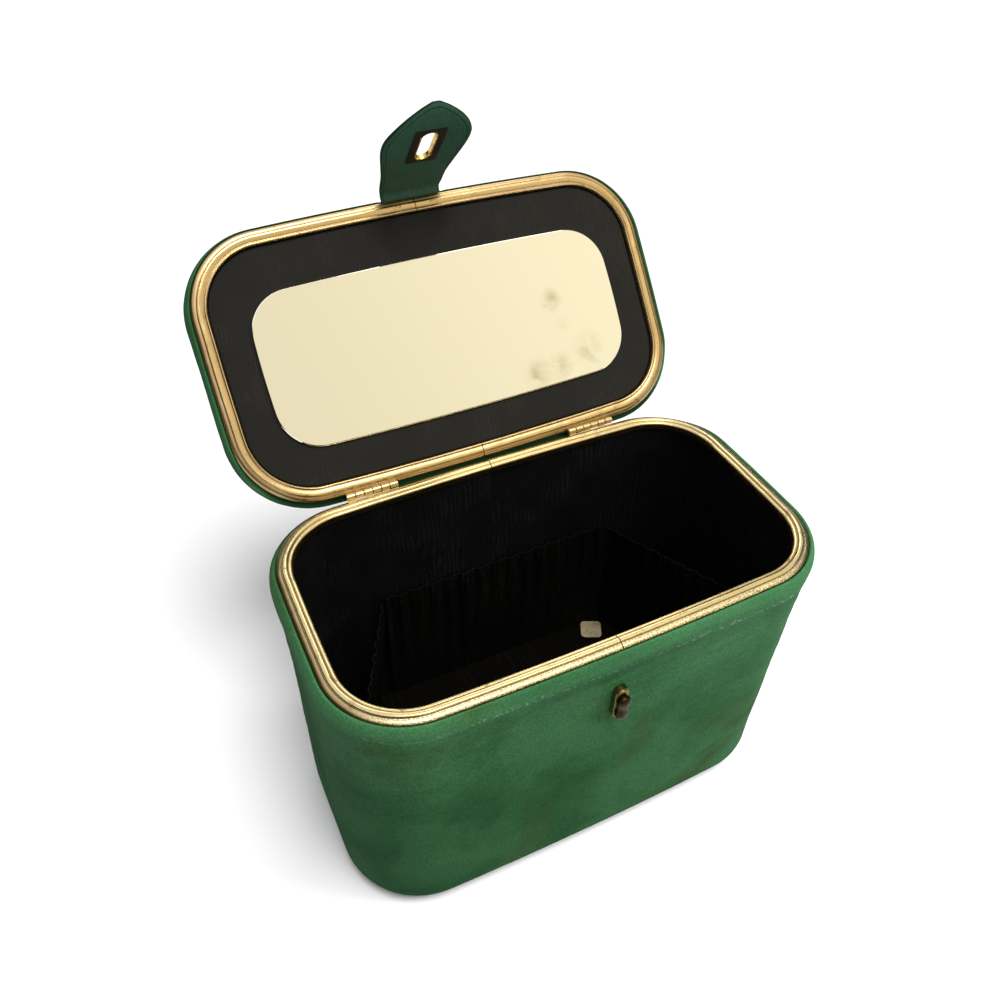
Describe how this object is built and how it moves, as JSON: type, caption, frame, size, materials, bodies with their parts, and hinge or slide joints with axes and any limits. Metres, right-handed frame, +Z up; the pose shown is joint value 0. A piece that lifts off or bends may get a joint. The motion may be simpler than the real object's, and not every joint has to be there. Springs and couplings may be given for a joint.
{
  "type": "cosmetic train case",
  "caption": "Small hard-sided leather vanity case, shown open: metal-rimmed body with lined well and gathered pockets, hinged lid with mirror, slotted closing tab and turn lock.",
  "frame": {"origin": "middle of the flat underside", "axes": "+X to the right seen from the front, +Y to the back where the hinges are, +Z up"},
  "size_m": [0.2986, 0.2906, 0.387],
  "materials": {
    "green_leather": "smooth mottled leather, slight gloss",
    "base_leather": "plain leather",
    "tab_leather": "smooth leather with dark edge",
    "tab_lining": "thin dark leather",
    "case_board": "bent board",
    "lining_cloth": "watered black cloth",
    "pocket_cloth": "gathered black cloth",
    "floor_cloth": "watered black cloth on board",
    "panel_cloth": "watered black cloth on board",
    "wadding": "soft wadding",
    "rim_brass": "worn gold-coloured metal",
    "hinge_brass": "worn brass",
    "lock_brass": "polished brass",
    "handle_brass": "polished brass",
    "plain_steel": "plain steel",
    "mirror_glass": "silvered glass, lightly spotted",
    "label_paper": "plain cream",
    "backing_card": "plain card"
  },
  "bodies": {
    "body": {"body_band": "case_board", "side_cover": "green_leather", "base_cover": "base_leather", "base_tray": "case_board", "body_lining": "lining_cloth", "floor_pad": "wadding", "floor_board": "floor_cloth", "blank_label": "label_paper", "pocket_back": "pocket_cloth", "pocket_left": "pocket_cloth", "pocket_right": "pocket_cloth", "body_rim_left": "rim_brass", "body_rim_right": "rim_brass", "edge_padding": "wadding", "lock_plate": "plain_steel", "lock_collar": "lock_brass", "lock_rivets": "lock_brass", "hinge_leaf_body_left": "hinge_brass", "hinge_leaf_body_right": "hinge_brass", "hinge_pin_left": "hinge_brass", "hinge_pin_right": "hinge_brass", "hinge_nails_body": "hinge_brass"},
    "lid": {"lid_rim_left": "rim_brass", "lid_rim_right": "rim_brass", "lid_shell": "case_board", "lid_padding": "wadding", "lid_cover": "green_leather", "mirror_backer": "backing_card", "mirror_panel": "panel_cloth", "mirror": "mirror_glass", "tab_root": "tab_leather", "hinge_leaf_lid_left": "hinge_brass", "hinge_leaf_lid_right": "hinge_brass", "hinge_nails_lid": "hinge_brass", "handle_post_left": "handle_brass", "handle_post_right": "handle_brass", "handle_pin_left": "handle_brass", "handle_pin_right": "handle_brass", "handle_rivets": "handle_brass"},
    "tab": {"tab_leather": "tab_leather", "tab_lining": "tab_lining", "tab_patch": "tab_lining", "tab_plate": "lock_brass"},
    "knob": {"turn_knob": "lock_brass"},
    "handle": {"handle_grip": "green_leather", "handle_core": "plain_steel", "handle_end_left": "handle_brass", "handle_end_right": "handle_brass"}
  },
  "joints": [
    {"name": "lid_hinge", "type": "hinge", "parent": "body", "child": "lid", "pos_m": [0, 0.08105, 0.19815], "axis": [1, 0, 0], "range_deg": [0, 129.35]},
    {"name": "tab_bend", "type": "hinge", "parent": "lid", "child": "tab", "pos_m": [0, 0.19068, 0.3261], "axis": [1, 0, 0], "range_deg": [-79, 14.1], "stiffness_Nm_per_rad": 0.15},
    {"name": "knob_turn", "type": "hinge", "parent": "body", "child": "knob", "pos_m": [0, -0.08231, 0.1555], "axis": [0, -0.9998, -0.0187], "range_deg": [0, 90]},
    {"name": "handle_swing", "type": "hinge", "parent": "lid", "child": "handle", "pos_m": [0, 0.1573, 0.24044], "axis": [1, 0, 0], "range_deg": [-30, 128]}
  ]
}
